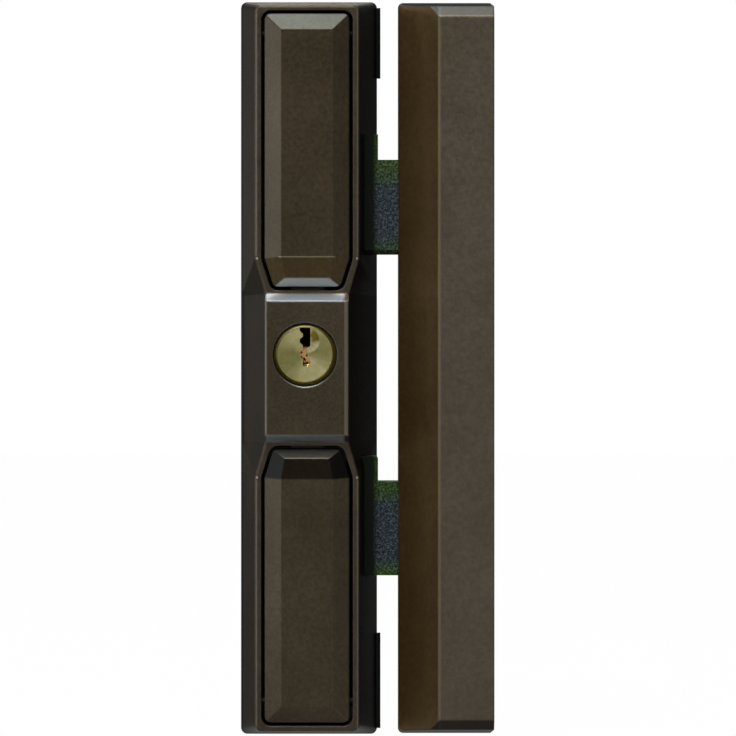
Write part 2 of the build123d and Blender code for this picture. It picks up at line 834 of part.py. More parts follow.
# Guide for a bolt: two rails on the base plate and a cover in front, with room behind
# for the drive bar.
def make_guide(middle):
    with BuildPart() as guide:
        for rail in (middle - rail_middle, middle + rail_middle):
            with BuildSketch(Plane.XY.offset(rail - rail_thickness / 2)):
                with Locations((0, -(plate_thickness + cover_front) / 2)):
                    Rectangle(2 * guide_half, cover_front - plate_thickness)
                with Locations((0, -(plate_thickness + bolt_back) / 2)):
                    Rectangle(
                        bar_width + 2 * slide_clearance,
                        bolt_back - plate_thickness,
                        mode=Mode.SUBTRACT,
                    )
                with Locations((-tab_x, -plate_thickness / 2), (tab_x, -plate_thickness / 2)):
                    Rectangle(tab_width, plate_thickness)
            extrude(amount=rail_thickness)
        with BuildSketch(facing(cover_back)):
            with Locations((0, middle)):
                Rectangle(2 * guide_half, 2 * rail_middle)
        extrude(amount=cover_thickness)
    return guide.part


upper_guide = make_guide(bolt_centres[0])
upper_guide.label = "upper_bolt_guide"
lower_guide = make_guide(bolt_centres[1])
lower_guide.label = "lower_bolt_guide"


# A press key: a hollow cap with bevelled sides, a gentle slope and a steep end facet
# towards the centre block, hinge lugs at its outer end, a stop tab and a foot.
def make_key(side, foot_z):
    flat_half = key_half_width - key_bevel
    crease = key_taper_start + key_crease_offset
    facet_z = key_inner_end + key_facet_run
    slope_drop = (crease - facet_z) * math.tan(math.radians(key_slope_angle))
    edge, flat = key_edge_depth, key_flat_depth
    with BuildPart() as key:
        with BuildSketch(facing(cavity_depth)):
            with BuildLine():
                key_outline(side)
            make_face()
            fillet(vertices(), key_corner)
        extrude(amount=flat - cavity_depth)
        key_middle = (0, 0, side * (key_outer_end + key_inner_end) / 2)
        outer, taper, inner = [side * z for z in (key_outer_end, key_taper_start, key_inner_end)]
        outer_top = (0, -flat, side * (key_outer_end - key_bevel))
        foot_top = (0, slope_drop - flat, side * facet_z)
        crease_top = (0, -flat, side * crease)
        cuts = [
            facet(key_middle, (1, -edge, outer), (-1, -edge, outer), outer_top),
            facet(key_middle, (1, -flat, side * crease), crease_top, foot_top),
            facet(key_middle, (0, -edge, inner), (1, -edge, inner), foot_top),
        ]
        for x in (1, -1):
            rim_side = (x * key_half_width, -edge, taper)
            side_top = (x * flat_half, -flat, outer)
            taper_top = (x * flat_half, -flat, side * crease)
            inner_side = (x * key_inner_half, -edge, inner)
            cuts += [
                facet(key_middle, (x * key_half_width, -edge, outer), rim_side, side_top),
                facet(key_middle, rim_side, inner_side, taper_top),
            ]
        for cut in cuts:
            split(bisect_by=cut, keep=Keep.BOTTOM)

        # hollow from behind
        with BuildSketch(facing(cavity_depth)):
            with BuildLine():
                key_outline(side)
            make_face()
            offset(amount=-key_wall, kind=Kind.INTERSECTION)
        extrude(amount=edge - key_top_wall - cavity_depth, mode=Mode.SUBTRACT)

        # hinge lugs
        with BuildSketch(Plane.YZ.offset(-(key_half_width - key_wall / 2))):
            with Locations((-hinge_depth, side * hinge_z)):
                Circle(hinge_pin_diameter / 2 + lug_wall)
            with Locations((-(hinge_depth + edge) / 2, side * hinge_z)):
                Rectangle(edge - hinge_depth, hinge_pin_diameter + 2 * lug_wall)
        extrude(amount=lug_width)
        mirror(about=Plane.YZ)
        with BuildSketch(Plane.YZ.offset(-case_width)):
            with Locations((-hinge_depth, side * hinge_z)):
                Circle(hinge_pin_diameter / 2 + hinge_clearance)
        extrude(amount=2 * case_width, mode=Mode.SUBTRACT)

        # foot that rides on the drive bar's ramp
        foot_tip = bar_front + foot_gap
        with BuildSketch(Plane.YZ.offset(-bar_width / 4 + foot_setback)):
            with Locations((-(foot_tip + foot_radius), foot_z)):
                Circle(foot_radius)
            with Locations((-(foot_tip + foot_radius + edge) / 2, foot_z)):
                Rectangle(edge - foot_tip - foot_radius, 2 * foot_radius)
        extrude(amount=bar_width / 2 - 2 * foot_setback)

        # stop tab that catches behind the rim band beside the centre block
        with BuildSketch(facing(cover_front + slide_clearance)):
            with Locations((0, side * (key_inner_end + key_wall / 2 - tab_reach / 2))):
                Rectangle(key_inner_half, key_wall + tab_reach)
        extrude(amount=tab_thickness)
    return key.part


upper_key = make_key(1, upper_foot)
upper_key.label = "upper_key"
lower_key = make_key(-1, lower_foot)
lower_key.label = "lower_key"

# Hinge pins of the keys.
hinge_pins = Compound(
    label="hinge_pins",
    children=[
        Pos(0, -hinge_depth, side * hinge_z)
        * Rot(0, 90, 0)
        * Cylinder(hinge_pin_diameter / 2, 2 * (key_half_width + key_gap + hinge_pin_end - hinge_end_gap))
        for side in (1, -1)
    ],
)


# Torsion springs round the hinge pins, which push the keys out.
def torsion_spring(side):
    coil = make_coil(key_spring_radius, key_spring_width, key_spring_wire, key_spring_turns)
    place = Pos(-key_spring_width / 2, -hinge_depth, side * hinge_z)
    return place * Rot(0, 90, 0) * coil


key_springs = Compound(
    label="key_springs", children=[torsion_spring(side) for side in (1, -1)]
)

# Spring that pushes the drive bar down when the plug lets it go.
bar_spring = coil_spring(
    0,
    (bar_back + bar_front) / 2,
    bar_high,
    post_low,
    bar_spring_radius,
    bar_spring_wire,
    bar_spring_turns,
)
bar_spring.label = "bar_spring"

# Strike box cover: upright wall towards the lock, a long bevel and leaning ends.
strike_screw_places = [(strike_screw_x, sz * strike_screw_z) for sz in (-1, 1)]
strike_section = [
    (strike_left, 0),
    (strike_left, -strike_wall_height),
    (strike_face_left, -strike_depth),
    (strike_right, -strike_depth),
    (strike_right, 0),
]
with BuildPart() as strike_cover:
    with BuildSketch(Plane.XY.offset(-strike_length / 2)):
        with BuildLine():
            Polyline(*strike_section, close=True)
        make_face()
    extrude(amount=strike_length)
    for side in (1, -1):
        end = side * strike_length / 2
        inner_end = side * (strike_length / 2 - strike_lean)
        chamfer_depth = strike_depth - strike_chamfer_drop
        lean_normal = Vector(0, -strike_lean, side * chamfer_depth)
        split(bisect_by=Plane((0, 0, end), z_dir=lean_normal), keep=Keep.BOTTOM)
        cut_normal = Vector(0, -strike_chamfer_run, side * strike_chamfer_drop)
        split(
            bisect_by=Plane((0, -chamfer_depth, inner_end), z_dir=cut_normal),
            keep=Keep.BOTTOM,
        )
    left_wall = strike_cover.faces().sort_by(Axis.X)[0]
    corner_edges = left_wall.edges().filter_by(lambda e: abs(e.center().Z) > keep_length / 2)
    fillet(corner_edges, strike_corner)
    with BuildSketch(Plane.XY.offset(-strike_length / 2 + strike_lean + strike_wall)):
        with BuildLine():
            Polyline(
                (strike_left + strike_wall, 0),
                (strike_left + strike_wall, -strike_wall_height + strike_wall / 2),
                (strike_face_left + strike_wall / 2, -strike_depth + strike_wall),
                (strike_right - strike_wall, -strike_depth + strike_wall),
                (strike_right - strike_wall, 0),
                close=True,
            )
        make_face()
    extrude(amount=strike_length - 2 * (strike_lean + strike_wall), mode=Mode.SUBTRACT)
    for z in bolt_centres:
        with BuildSketch(Plane.YZ.offset(strike_left - 1)):
            with Locations((-(bolt_back + bolt_front) / 2, z - tongue_drop)):
                Rectangle(
                    bolt_thickness + 2 * slide_clearance,
                    tongue_height + 2 * window_clearance,
                )
        extrude(amount=strike_wall + 2, mode=Mode.SUBTRACT)
    # bosses for the screws that hold the cover on the keep
    with BuildSketch(facing(plate_thickness)):
        with Locations(*strike_screw_places):
            Circle(boss_width / 2)
            Circle(screw_diameter / 2, mode=Mode.SUBTRACT)
    extrude(amount=strike_depth - strike_wall - plate_thickness)
strike_cover.part.label = "strike_cover"

strike_screws = Compound(
    label="strike_screws",
    children=[countersunk_screw(x, z, screw_length) for x, z in strike_screw_places],
)

# Strike keep: a steel angle with a window for each bolt.
keep_x = strike_left + strike_wall + keep_setback
keep_front = bolt_front + keep_cover
keep_width = strike_right - strike_wall - keep_clearance - keep_x
strike_mounts = [(strike_mount_x, sz * (keep_length / 2 - strike_mount_inset)) for sz in (-1, 1)]
with BuildPart() as strike_keep:
    with BuildSketch(facing(0)):
        with Locations((keep_x + keep_width / 2, 0)):
            Rectangle(keep_width, keep_length)
        with Locations(*strike_mounts):
            Circle(mount_hole_diameter / 2, mode=Mode.SUBTRACT)
    extrude(amount=plate_thickness)
    for x, z in strike_screw_places:
        with Locations(Plane((x, 0, z), z_dir=(0, 1, 0))):
            CounterSinkHole(
                screw_diameter / 2 + slide_clearance,
                screw_head_diameter / 2 + slide_clearance,
                plate_thickness,
                90,
            )
    with BuildSketch(facing(0)):
        with Locations((keep_x + keep_thickness / 2, 0)):
            Rectangle(keep_thickness, keep_length)
    extrude(amount=keep_front)
    web_edges = strike_keep.faces().sort_by(Axis.Y)[0].edges().filter_by(Axis.Z)
    chamfer(web_edges.sort_by(Axis.X)[0], keep_thickness / 2)
    for z in bolt_centres:
        with BuildSketch(Plane.YZ.offset(keep_x - 1)):
            with Locations((-(bolt_back + bolt_front) / 2, z - tongue_drop)):
                Rectangle(
                    bolt_thickness + 2 * window_clearance,
                    tongue_height + 2 * window_clearance,
                )
        extrude(amount=keep_thickness + 2, mode=Mode.SUBTRACT)
strike_keep.part.label = "strike_keep"

for piece in (
    case_shell.part,
    base_plate.part,
    case_screws,
    cylinder_body.part,
    pin_cover.part,
    plug.part,
    cam.part,
    cam_clip.part,
    key_pins,
    driver_pins,
    pin_springs,
    cylinder_bridge.part,
    drive_bar.part,
    bolt_pins,
    upper_bolt,
    lower_bolt,
    upper_guide,
    lower_guide,
    upper_key,
    lower_key,
    hinge_pins,
    key_springs,
    bar_spring,
    strike_cover.part,
    strike_keep.part,
    strike_screws,
):
    export_step(piece, f"parts/{piece.label}.step")
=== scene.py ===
import math

import bpy
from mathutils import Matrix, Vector


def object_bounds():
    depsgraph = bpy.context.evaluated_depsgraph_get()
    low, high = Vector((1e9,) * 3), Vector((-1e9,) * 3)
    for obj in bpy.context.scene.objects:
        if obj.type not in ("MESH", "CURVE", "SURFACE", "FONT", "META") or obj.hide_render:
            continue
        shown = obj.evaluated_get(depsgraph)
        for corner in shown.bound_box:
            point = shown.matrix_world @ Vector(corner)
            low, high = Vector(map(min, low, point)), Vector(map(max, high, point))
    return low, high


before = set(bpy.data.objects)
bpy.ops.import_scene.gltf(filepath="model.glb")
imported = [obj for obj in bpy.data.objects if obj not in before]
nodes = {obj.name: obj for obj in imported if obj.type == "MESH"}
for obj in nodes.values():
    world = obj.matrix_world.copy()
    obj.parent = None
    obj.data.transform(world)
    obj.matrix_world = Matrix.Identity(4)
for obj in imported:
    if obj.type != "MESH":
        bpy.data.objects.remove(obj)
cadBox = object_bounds()
print("lock loaded,", len(nodes), "pieces")


def toLinear(hexColour):
    parts = [int(hexColour[i:i + 2], 16) / 255 for i in (1, 3, 5)]
    linear = [c / 12.92 if c <= 0.04045 else ((c + 0.055) / 1.055) ** 2.4 for c in parts]
    return (*linear, 1.0)


def perMetre(millimetres):
    return 1000 / millimetres  # texture scale for a pattern of that size


# adds one node with its settings, its inputs and, on a ramp, its stops. An input is a number,
# a hex colour, another node, which gives its first output, or one output of a node.
def addNode(tree, kind, settings=None, inputs=None, stops=()):
    node = tree.nodes.new(kind)
    for name, value in (settings or {}).items():
        setattr(node, name, value)
    for name, value in (inputs or {}).items():
        if isinstance(value, bpy.types.Node):
            value = value.outputs[0]
        if isinstance(value, bpy.types.NodeSocket):
            tree.links.new(value, node.inputs[name])
        else:
            node.inputs[name].default_value = toLinear(value) if isinstance(value, str) else value
    if stops:
        points = node.color_ramp.elements
        while len(points) < len(stops):
            points.new(0.5)
        for point, (position, tone) in zip(points, stops):
            point.position = position
            point.color = toLinear(tone) if isinstance(tone, str) else (tone, tone, tone, 1)
    return node


# settings that several nodes share
multiply = {"operation": "MULTIPLY"}
multiplyAdd = {"operation": "MULTIPLY_ADD"}
larger = {"operation": "MAXIMUM"}
absolute = {"operation": "ABSOLUTE"}
dotProduct = {"operation": "DOT_PRODUCT"}


def newMaterial(name):
    material = bpy.data.materials.new(name)
    material.use_nodes = True
    material.node_tree.nodes.clear()
    return material, material.node_tree


def dress(material, *names):
    for name in names:
        slots = nodes[name].data.materials
        slots.clear()
        slots.append(material)


# camera: level and square to the lock, a little to the strike's side of the case
cameraView = {
    "acrossMm": 13.806,
    "heightMm": 0.0,
    "distanceMm": 932.0,
    "lensMm": 194.8,
    "sensorMm": 36.0,
    "seesFromM": 0.05,
    "seesToM": 20.0,
}
cameraData = bpy.data.cameras.new("photoCamera")
cameraData.lens = cameraView["lensMm"]
cameraData.sensor_width = cameraView["sensorMm"]
cameraData.clip_start = cameraView["seesFromM"]
cameraData.clip_end = cameraView["seesToM"]
camera = bpy.data.objects.new("photoCamera", cameraData)
camera.location = (
    cameraView["acrossMm"] / 1000,
    -cameraView["distanceMm"] / 1000,
    cameraView["heightMm"] / 1000,
)
camera.rotation_euler = (math.radians(90), 0, 0)
bpy.context.scene.collection.objects.link(camera)
bpy.context.scene.camera = camera
bpy.context.scene.view_settings.view_transform = "Standard"
print("camera set")


# soft boxes: one high in front, a wide one overhead, two weak ones on the left, and one
# high behind for the mounting side; places and widths in metres
studioLights = {
    "frontHigh": {"place": (-0.14, -0.62, 0.90), "width": 0.40, "watts": 11.0, "tone": "#fff9ee"},
    "overhead": {"place": (0.0, -0.34, 1.05), "width": 0.50, "watts": 2.4, "tone": "#e4efff"},
    "leftFront": {"place": (-0.97, -0.52, 0.08), "width": 0.55, "watts": 1.5, "tone": "#e4efff"},
    "leftBack": {"place": (-1.08, 0.19, 0.0), "width": 0.50, "watts": 1.6, "tone": "#fffaf2"},
    "behindHigh": {"place": (0.0, 0.72, 0.84), "width": 0.50, "watts": 3.2, "tone": "#fffdf8"},
}
lightsAim = Vector((0.01, -0.02, 0.0))  # the middle of the lock
for name, light in studioLights.items():
    lamp = bpy.data.lights.new(name, "AREA")
    lamp.shape = "SQUARE"
    lamp.size = light["width"]
    lamp.energy = light["watts"]
    lamp.color = toLinear(light["tone"])[:3]
    lampObject = bpy.data.objects.new(name, lamp)
    lampObject.location = light["place"]
    aim = lightsAim - Vector(light["place"])
    lampObject.rotation_euler = aim.to_track_quat("-Z", "Y").to_euler()
    lampObject.visible_camera = False
    bpy.context.scene.collection.objects.link(lampObject)

# room: plain white to the camera and dim to the object. Glossy surfaces see a pale wall in
# front that is darker just above the lock and bright high up, and little behind it.
studioWorld = {
    "roomTone": "#eef0f0",
    # straight down to straight up
    "roomLevels": [(0.0, 0.08), (0.46, 0.03), (0.56, 0.02), (0.80, 0.10), (1.0, 0.16)],
    "wallLevels": [(0.48, 0.40), (0.53, 0.28), (0.58, 0.10), (0.68, 0.06), (0.86, 0.85)],
    "highShare": [(0.68, 0.0), (0.86, 1.0)],  # above this the wall is as bright all round
    "frontShare": [(0.46, 1.0), (0.74, 0.01)],  # front to back
    "leftShare": [(0.45, 0.20), (0.60, 0.0)],  # left to right
}
oneHalf = (0.5, 0.5, 0.5)  # times this and plus this, a direction's parts run from 0 to 1
world = bpy.data.worlds.new("paleRoom")
world.use_nodes = True
tree = world.node_tree
tree.nodes.clear()
direction = addNode(tree, "ShaderNodeTexCoord").outputs["Generated"]
upright = addNode(tree, "ShaderNodeVectorMath", multiplyAdd, {0: direction, 1: oneHalf, 2: oneHalf})
way = addNode(tree, "ShaderNodeSeparateXYZ", {}, {"Vector": upright}).outputs
level = {
    name: addNode(tree, "ShaderNodeValToRGB", {}, {"Fac": way[axis]}, studioWorld[name])
    for name, axis in {
        "roomLevels": "Z", "wallLevels": "Z", "highShare": "Z", "frontShare": "Y", "leftShare": "X",
    }.items()
}
sides = addNode(tree, "ShaderNodeMath", larger, {0: level["frontShare"], 1: level["leftShare"]})
fade = addNode(tree, "ShaderNodeMath", larger, {0: sides, 1: level["highShare"]})
wall = addNode(tree, "ShaderNodeMath", multiply, {0: level["wallLevels"], 1: fade})
rays = addNode(tree, "ShaderNodeLightPath").outputs
mirrored = addNode(tree, "ShaderNodeMath", larger, {
    0: rays["Is Glossy Ray"], 1: rays["Is Transmission Ray"],
})
mirrorShare = addNode(tree, "ShaderNodeMath", multiply, {0: mirrored, 1: wall})
whiteShare = addNode(tree, "ShaderNodeMath", larger, {0: rays["Is Camera Ray"], 1: mirrorShare})
room = addNode(tree, "ShaderNodeBackground", {}, {
    "Color": studioWorld["roomTone"], "Strength": level["roomLevels"],
})
white = addNode(tree, "ShaderNodeBackground", {}, {"Color": "#ffffff", "Strength": 1.0})
seen = addNode(tree, "ShaderNodeMixShader", {}, {0: whiteShare, 1: room, 2: white})
addNode(tree, "ShaderNodeOutputWorld", {}, {"Surface": seen})
bpy.context.scene.world = world

# floor: matt white board under the lock, which the camera sees nearly white, with a faint
# shadow, and glossy surfaces see pale in front and dark behind
floorBoard = {
    "halfWidthM": 3.0,
    "gapMm": 0.2,
    "tone": "#e6e6e4",
    "roughness": 0.9,
    "specular": 0.1,
    "whiteShare": 0.985,  # the rest keeps the shadow
    "mirroredLevels": [(0.493, 0.40), (0.502, 0.04)],  # front to back
}
low = cadBox[0][2] - floorBoard["gapMm"] / 1000
half = floorBoard["halfWidthM"]
mesh = bpy.data.meshes.new("floorBoard")
corners = [(-half, -half, low), (half, -half, low), (half, half, low), (-half, half, low)]
mesh.from_pydata(corners, [], [(0, 1, 2, 3)])
floorObject = bpy.data.objects.new("floorBoard", mesh)
bpy.context.scene.collection.objects.link(floorObject)
floorMaterial, tree = newMaterial("matt white board, painted")
board = addNode(tree, "ShaderNodeBsdfPrincipled", {}, {
    "Base Color": floorBoard["tone"],
    "Roughness": floorBoard["roughness"],
    "Specular IOR Level": floorBoard["specular"],
})
spread = addNode(tree, "ShaderNodeTexCoord").outputs["Generated"]
depth = addNode(tree, "ShaderNodeSeparateXYZ", {}, {"Vector": spread}).outputs["Y"]
pale = addNode(tree, "ShaderNodeValToRGB", {}, {"Fac": depth}, floorBoard["mirroredLevels"])
rays = addNode(tree, "ShaderNodeLightPath").outputs
strength = addNode(tree, "ShaderNodeMath", larger, {0: pale, 1: rays["Is Camera Ray"]})
glow = addNode(tree, "ShaderNodeEmission", {}, {"Color": "#ffffff", "Strength": strength})
seenWhite = addNode(tree, "ShaderNodeMath", multiply, {
    0: rays["Is Camera Ray"], 1: floorBoard["whiteShare"],
})
mirrored = addNode(tree, "ShaderNodeMath", larger, {
    0: rays["Is Glossy Ray"], 1: rays["Is Transmission Ray"],
})
share = addNode(tree, "ShaderNodeMath", larger, {0: seenWhite, 1: mirrored})
mixed = addNode(tree, "ShaderNodeMixShader", {}, {0: share, 1: board, 2: glow})
addNode(tree, "ShaderNodeOutputMaterial", {}, {"Surface": mixed})
floorObject.data.materials.append(floorMaterial)

# the window frame that the lock is held to is matt dark timber, and shows only as a disc in
# each screw hole
windowFrame = {
    "holeMiddlesMm": [(7, 70), (-7, 70), (7, -70), (-7, -70), (33.5, 60), (33.5, -60)],
    "discRadiusMm": 2.9,
    "discCorners": 24,
    "depthMm": 0.1,
    "tone": "#1a1714",
    "roughness": 0.9,
}
corners, faces = [], []
for acrossMm, upMm in windowFrame["holeMiddlesMm"]:
    faces.append(tuple(range(len(corners), len(corners) + windowFrame["discCorners"])))
    for step in range(windowFrame["discCorners"]):
        turn = 2 * math.pi * step / windowFrame["discCorners"]
        corners.append((
            (acrossMm + windowFrame["discRadiusMm"] * math.cos(turn)) / 1000,
            windowFrame["depthMm"] / 1000,
            (upMm + windowFrame["discRadiusMm"] * math.sin(turn)) / 1000,
        ))
mesh = bpy.data.meshes.new("windowFrame")
mesh.from_pydata(corners, [], faces)
frameFace = bpy.data.objects.new("windowFrame", mesh)
bpy.context.scene.collection.objects.link(frameFace)
frameMaterial, tree = newMaterial("stained timber, matt and shaded")
timber = addNode(tree, "ShaderNodeBsdfPrincipled", {}, {
    "Base Color": windowFrame["tone"], "Roughness": windowFrame["roughness"],
})
addNode(tree, "ShaderNodeOutputMaterial", {}, {"Surface": timber})
frameFace.data.materials.append(frameMaterial)
print("studio set")


# bronze-brown paint stoved onto die-cast zinc: metal flake under a thin clear lacquer, so a
# facet turned to the light looks pale and the one beside it nearly black, with a fine grain.
# Shade and highlights are also painted into the colour: by which way a facet faces, on chamfers,
# edges and creases, on groove walls and near the mounting face.
# In the lists by lean, 0 faces down and 1 faces up; by side, 0 faces left and 1 faces right.
casePaint = {
    "name": "stoved brown paint on die-cast zinc, grained",
    "cloudMm": 14.0,
    "cloudTones": [(0.35, "#4d4433"), (0.65, "#574d3d")],
    "grainMm": 0.7,  # real grain is about 0.2 mm, drawn coarser so that it shows
    "grainTones": [(0.34, "#dcd8d3"), (0.66, "#ffffff")],
    "grainRoughness": [(0.3, 0.34), (0.7, 0.48)],
    "bumpMm": 0.03,
    "bumpStrength": 0.35,
    "flake": 0.85,  # share that mirrors like metal
    "lacquer": 0.3,  # weight of the clear coat
    "lacquerRoughness": 0.2,
    "edgeMm": 0.8,
    # pale edges: partly wear, partly a painted highlight
    "edgeWearAndHighlightTone": "#807d74",
    "edgeByTurn": [(0.82, 0.5), (0.985, 0.0)],  # from a sharp edge to a flat face
    # painted highlight on the centre block's top and bottom chamfers
    "paintedHighlightTone": "#d0dae2",
    "paintedHighlightReachMm": 16.9,  # up and down from the case's middle
    "paintedHighlightAcrossMm": [(-9.6, -9.0), (8.8, 8.0)],  # from nothing to all, at the left and right
    "paintedHighlightByLean": [(0.06, 0.6), (0.25, 0.0), (0.70, 0.0), (0.90, 1.0)],
    "lineFadeMm": 0.12,
    "paintedHighlightLines": [
        # painted highlights along the centre block's edges and the rim's outer edges, and painted
        # highlight dots at the rim's corners by the waist
        {"middleMm": (8.9, 0.0), "halfMm": (0.42, 15.4), "share": 0.55, "tone": "#8b8576"},
        {"middleMm": (-9.25, 0.0), "halfMm": (0.2, 15.4), "share": 0.5, "tone": "#8b8576"},
        *({
            "middleMm": (side * 11.45, end * 54.0), "halfMm": (0.16, 28.6),
            "share": 0.35, "tone": "#948f82",
        } for side in (-1, 1) for end in (-1, 1)),
        *({
            "middleMm": (side * 11.3, end * 24.8), "halfMm": (0.18, 0.2),
            "share": 0.9, "tone": "#dddbd4",
        } for side in (-1, 1) for end in (-1, 1)),
    ],
    # painted shade and highlight by which way a facet leans
    "paintedLightByLean": [
        (0.56, "#ffffff"), (0.69, "#a6a6a4"), (0.78, "#a6a6a8"), (0.88, "#f4f8ff"),
        (0.97, "#ffffff"),
    ],
    # painted shade: walls facing right are darkened nearly to black
    "paintedShadeBySide": [(0.84, "#ffffff"), (0.93, "#1b1b17")],
    "paintedShadeByAcross": [(0.0, "#ffffff"), (1.0, "#ffffff")],  # painted shade by place, from the lock's left side to its right
    "paintedShadeByDepth": [(0.84, "#ffffff"), (0.88, "#3c3e3c")],  # painted shade near the mounting face; from the front to the mounting face
    # painted shade on the walls inside the grooves
    "grooveShadeTone": "#0d0c0a",
    "grooveShadeReachMm": 10.7,
    "grooveShadeByFront": [(0.445, 0.0), (0.475, 1.0)],  # from facing the front to facing sideways
    "dustByLean": [(0.0, 0.0), (1.0, 0.0)],  # none lies on it
}
keyPaint = dict(
    casePaint,
    name="stoved brown paint on die-cast zinc, smooth",
    cloudTones=[(0.35, "#4e4430"), (0.65, "#584d39")],
    grainMm=0.9,
    grainRoughness=[(0.3, 0.30), (0.7, 0.40)],
    bumpStrength=0.22,
    edgeMm=0.5,
    # painted highlight on the steep facets at the keys' inner ends
    paintedHighlightTone="#757d82",
    paintedHighlightReachMm=40.0,
    paintedHighlightAcrossMm=[(-20.0, -19.0), (20.0, 19.0)],
    paintedHighlightByLean=[(0.06, 1.0), (0.2, 0.0), (0.78, 0.0), (0.87, 0.26)],
    # a painted highlight along the crease between the upper key's flat and its slope
    paintedHighlightLines=[{"middleMm": (0.0, 25.1), "halfMm": (6.4, 0.08), "share": 0.8, "tone": "#b5b2a6"}],
    # painted shade and highlight by lean: darker slopes and tapers, bluish top bevels
    paintedLightByLean=[
        (0.30, "#ffffff"), (0.447, "#ffecbe"), (0.50, "#ffffff"), (0.552, "#7c7160"),
        (0.59, "#4f4834"), (0.63, "#7c7160"), (0.72, "#7c776a"), (0.79, "#c4e0ff"),
        (0.88, "#bdbfb8"),
    ],
    grooveShadeByFront=[(0.40, 0.0), (0.45, 1.0)],
)
strikePaint = dict(
    casePaint,
    name="stoved brown paint on die-cast zinc, flat sheen",
    cloudMm=22.0,
    cloudTones=[(0.35, "#7a6f5d"), (0.65, "#857a6b")],
    grainMm=1.1,
    grainTones=[(0.34, "#eae7e3"), (0.66, "#ffffff")],
    grainRoughness=[(0.3, 0.32), (0.7, 0.42)],
    bumpStrength=0.16,
    paintedHighlightReachMm=0.0,
    # a painted highlight along the edge between the strike's bevel and its front
    paintedHighlightLines=[{"middleMm": (29.95, 0.0), "halfMm": (0.38, 83.0), "share": 0.5, "tone": "#948f86"}],
    # painted shade and highlight by lean
    paintedLightByLean=[
        (0.02, "#3c342a"), (0.15, "#594e3e"), (0.38, "#ffffff"), (0.58, "#ffffff"),
        (0.70, "#b3afa8"), (0.84, "#a9b5bc"), (0.96, "#484846"),
    ],
    # painted shade: the left-facing bevel warmer and darker
    paintedShadeBySide=[(0.25, "#ffe2a8"), (0.42, "#d4d5d6")],
    # painted shade, darker across the strike's bevel towards its front edge
    paintedShadeByAcross=[(0.63, "#ffffff"), (0.78, "#c0c0c0"), (0.7865, "#ffffff")],
    paintedShadeByDepth=[(0.0, "#ffffff"), (1.0, "#ffffff")],
    grooveShadeReachMm=0.0,
    dustByLean=[(0.945, 0.0), (0.98, 1.0)],  # dust lies on the top end
)


